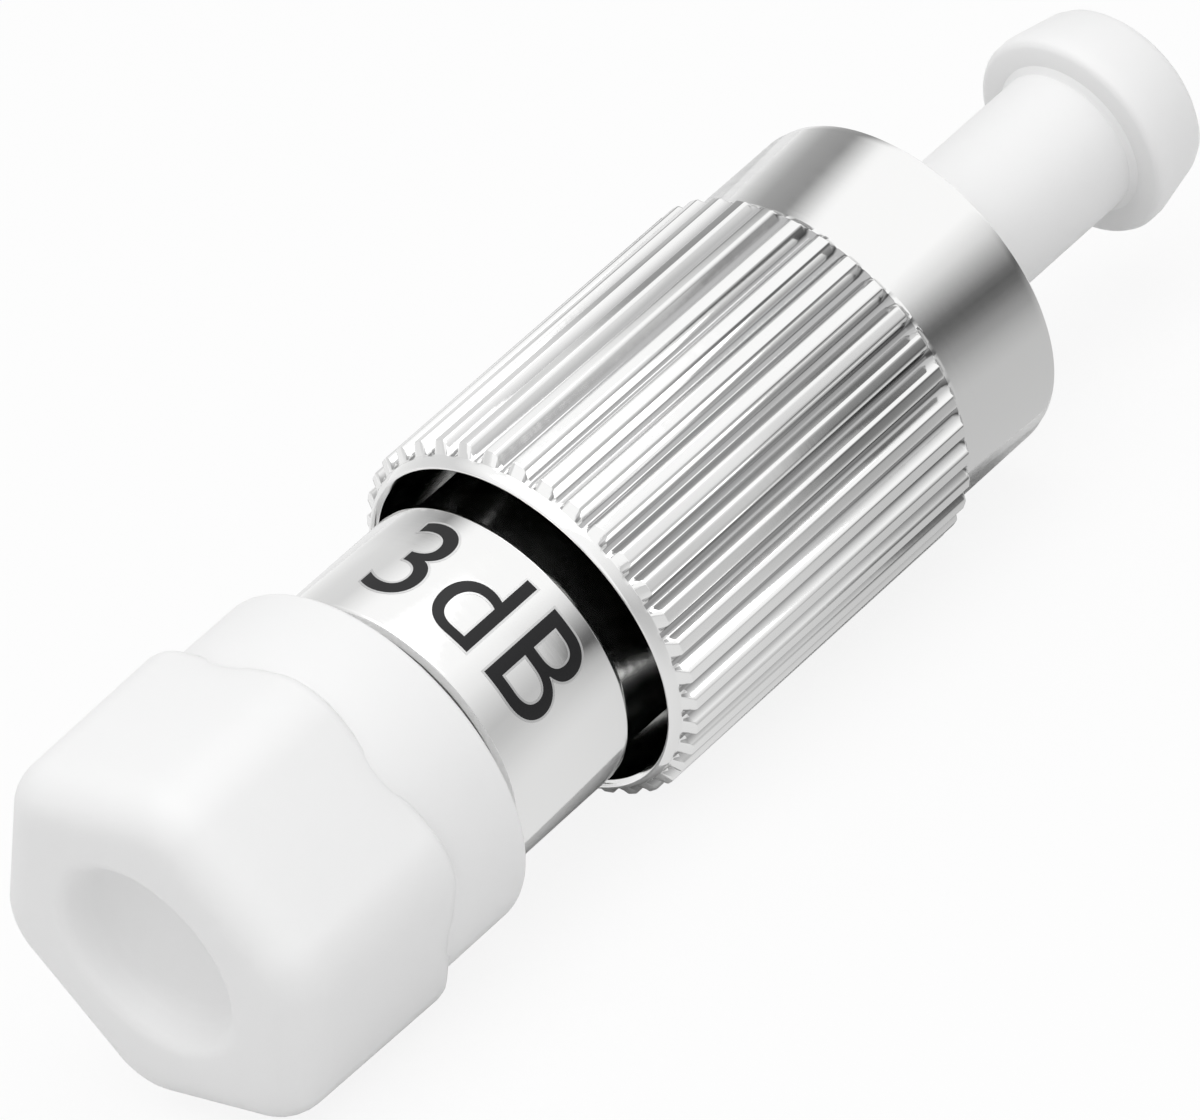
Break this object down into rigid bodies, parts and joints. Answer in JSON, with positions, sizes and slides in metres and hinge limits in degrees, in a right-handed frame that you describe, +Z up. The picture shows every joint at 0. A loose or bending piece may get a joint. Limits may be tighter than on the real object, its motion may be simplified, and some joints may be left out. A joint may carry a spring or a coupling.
{
  "type": "fixed optical attenuator",
  "caption": "Plug-to-socket fixed attenuator for single-mode fibre, with a threaded socket barrel, a knurled coupling nut, a sprung ceramic ferrule and two dust caps.",
  "frame": {"origin": "on the surface it lies on, under the middle of its length and width", "axes": "+X along the optical axis from the socket end to the plug end, +Z up through the keyway"},
  "size_m": [0.0398, 0.0112, 0.0111],
  "materials": {
    "hex_dust_cap": "satin",
    "jack_barrel": "polished",
    "sleeve_holder": "satin",
    "split_sleeve": "gloss",
    "spring_seat": "satin",
    "plug_body": "polished",
    "ferrule": "gloss",
    "attenuating_fibre": "gloss",
    "ferrule_flange": "satin",
    "ferrule_spring": "satin",
    "nut_retaining_ring": "satin",
    "coupling_nut": "polished",
    "ferrule_dust_cap": "satin"
  },
  "bodies": {
    "barrel": {"jack_barrel": "jack_barrel", "sleeve_holder": "sleeve_holder", "split_sleeve": "split_sleeve", "spring_seat": "spring_seat", "plug_body": "plug_body", "ferrule_spring": "ferrule_spring"},
    "ring": {"nut_retaining_ring": "nut_retaining_ring"},
    "nut": {"coupling_nut": "coupling_nut"},
    "hex_cap": {"hex_dust_cap": "hex_dust_cap"},
    "ferrule": {"ferrule": "ferrule", "attenuating_fibre": "attenuating_fibre", "ferrule_flange": "ferrule_flange"},
    "ferrule_cap": {"ferrule_dust_cap": "ferrule_dust_cap"}
  },
  "joints": [
    {"name": "nut_slide", "type": "slide", "parent": "barrel", "child": "ring", "axis": [1, 0, 0], "range_m": [-0.0048, 0.0003]},
    {"name": "nut_turn", "type": "hinge", "parent": "ring", "child": "nut", "pos_m": [0.00252, 0, 0.00554], "axis": [1, 0, 0], "continuous": true},
    {"name": "hex_cap_pull", "type": "slide", "parent": "barrel", "child": "hex_cap", "axis": [-1, 0, 0], "range_m": [0, 0.012]},
    {"name": "ferrule_float", "type": "slide", "parent": "barrel", "child": "ferrule", "axis": [-1, 0, 0], "range_m": [0, 0.001], "stiffness_N_per_m": 1500, "springref_m": -0.003, "deforming": ["ferrule_spring"]},
    {"name": "ferrule_cap_pull", "type": "slide", "parent": "ferrule", "child": "ferrule_cap", "axis": [1, 0, 0], "range_m": [0, 0.012]}
  ]
}
